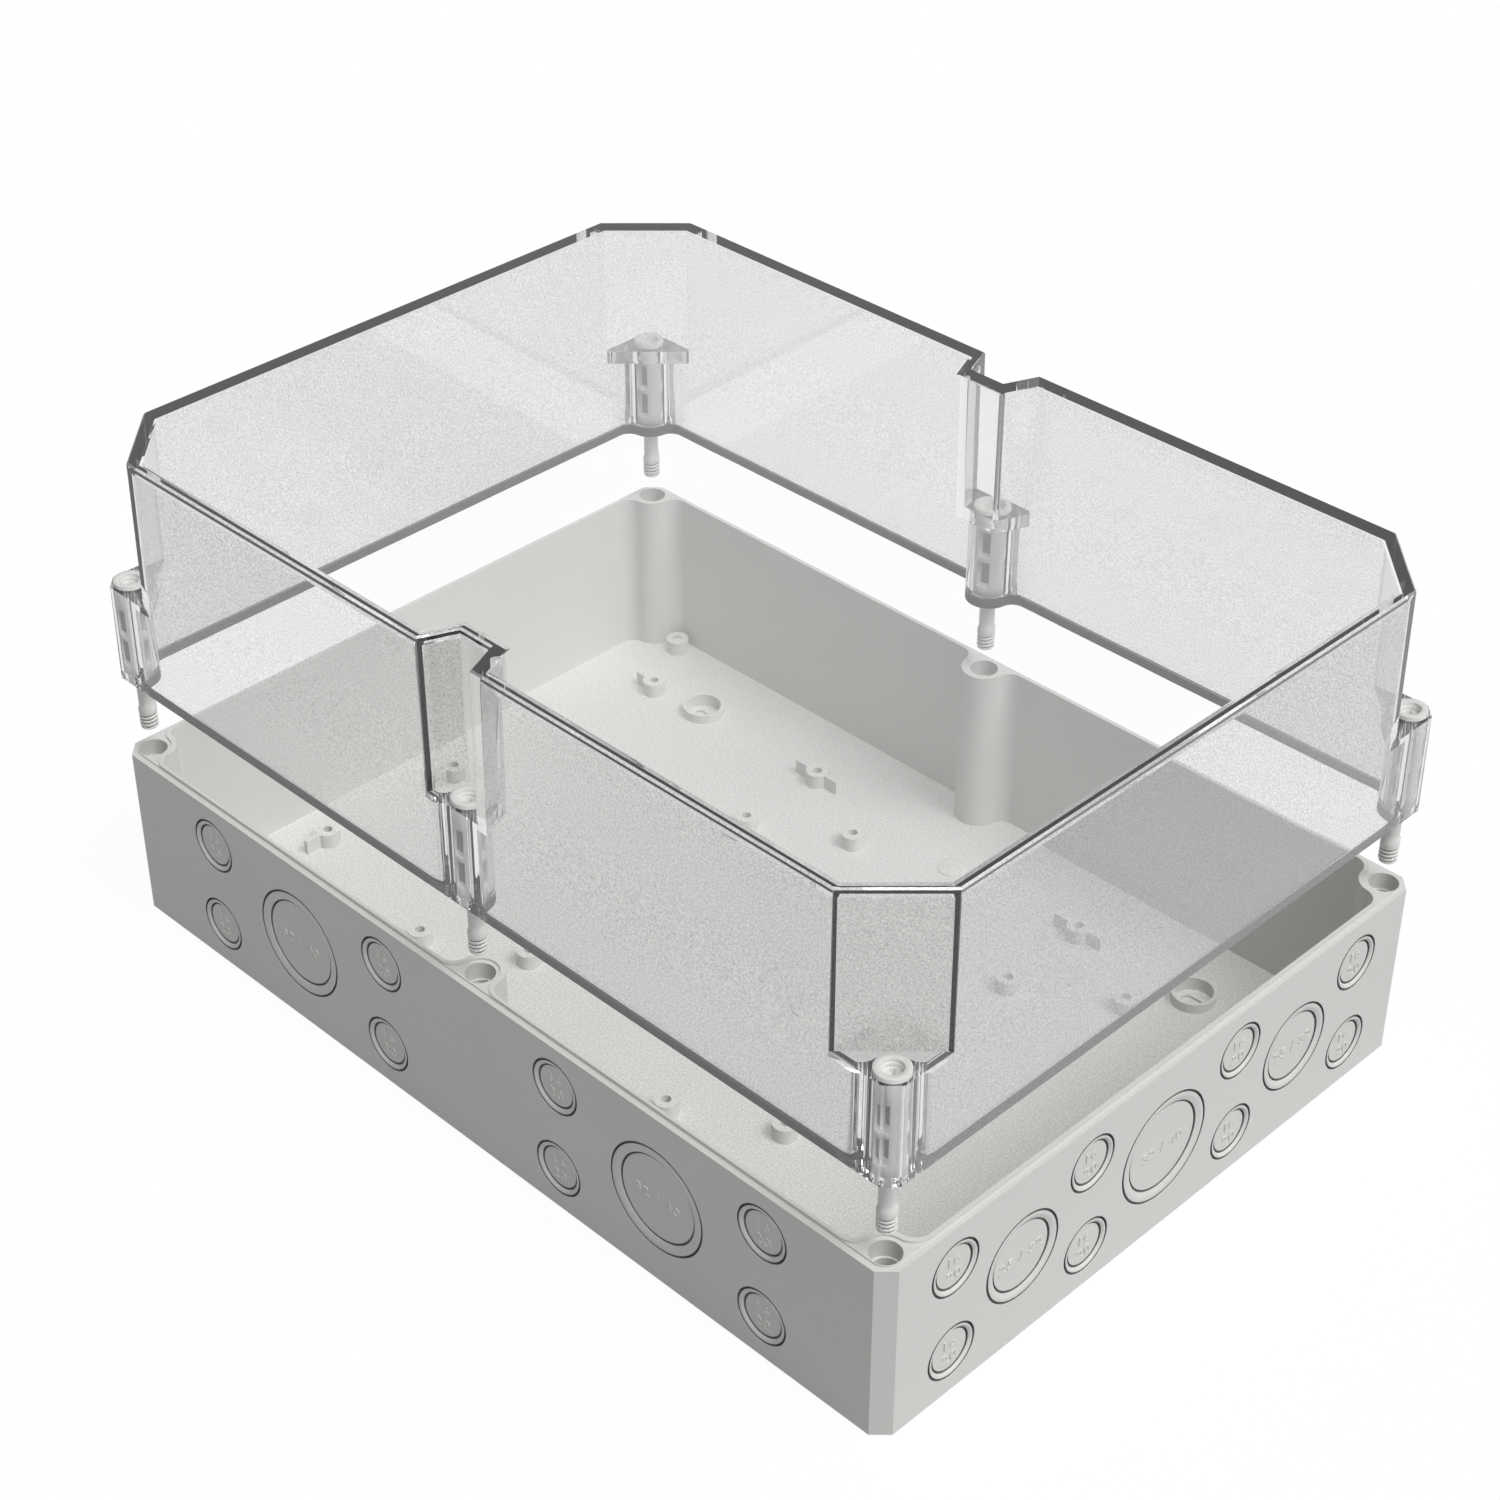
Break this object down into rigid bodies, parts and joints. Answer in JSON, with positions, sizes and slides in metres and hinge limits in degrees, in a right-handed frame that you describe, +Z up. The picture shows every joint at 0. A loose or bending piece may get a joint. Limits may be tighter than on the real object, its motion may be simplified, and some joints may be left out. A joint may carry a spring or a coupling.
{
  "type": "enclosure with lift-off clear cover",
  "caption": "Rectangular wall enclosure with knockouts on every side and a deep clear cover held by captive screws.",
  "frame": {"origin": "middle of the base's underside", "axes": "+X along the long side, +Y along the short side away from the front, +Z up towards the cover"},
  "size_m": [0.361, 0.2534, 0.1904],
  "materials": {
    "base_plastic": "fine moulded grain",
    "cover_plastic": "clear polycarbonate with a very fine grain",
    "seal_foam": "foamed in place",
    "screw_plastic": "satin"
  },
  "bodies": {
    "base": {"base_shell": "base_plastic"},
    "cover": {"clear_cover": "cover_plastic", "cover_seal": "seal_foam"},
    "screw_front_left": {"screw_front_left": "screw_plastic"},
    "screw_front_middle": {"screw_front_middle": "screw_plastic"},
    "screw_front_right": {"screw_front_right": "screw_plastic"},
    "screw_back_left": {"screw_back_left": "screw_plastic"},
    "screw_back_middle": {"screw_back_middle": "screw_plastic"},
    "screw_back_right": {"screw_back_right": "screw_plastic"}
  },
  "joints": [
    {"name": "cover_lift", "type": "slide", "parent": "base", "child": "cover", "axis": [0, 0, 1], "range_m": [-0.02955, 0.12]},
    {"name": "turn_front_left", "type": "hinge", "parent": "cover", "child": "screw_front_left", "pos_m": [-0.17315, -0.1193, 0.136], "axis": [0, 0, 1], "continuous": true},
    {"name": "turn_front_middle", "type": "hinge", "parent": "cover", "child": "screw_front_middle", "pos_m": [0, -0.1193, 0.136], "axis": [0, 0, 1], "continuous": true},
    {"name": "turn_front_right", "type": "hinge", "parent": "cover", "child": "screw_front_right", "pos_m": [0.17315, -0.1193, 0.136], "axis": [0, 0, 1], "continuous": true},
    {"name": "turn_back_left", "type": "hinge", "parent": "cover", "child": "screw_back_left", "pos_m": [-0.17315, 0.1193, 0.136], "axis": [0, 0, 1], "continuous": true},
    {"name": "turn_back_middle", "type": "hinge", "parent": "cover", "child": "screw_back_middle", "pos_m": [0, 0.1193, 0.136], "axis": [0, 0, 1], "continuous": true},
    {"name": "turn_back_right", "type": "hinge", "parent": "cover", "child": "screw_back_right", "pos_m": [0.17315, 0.1193, 0.136], "axis": [0, 0, 1], "continuous": true}
  ]
}
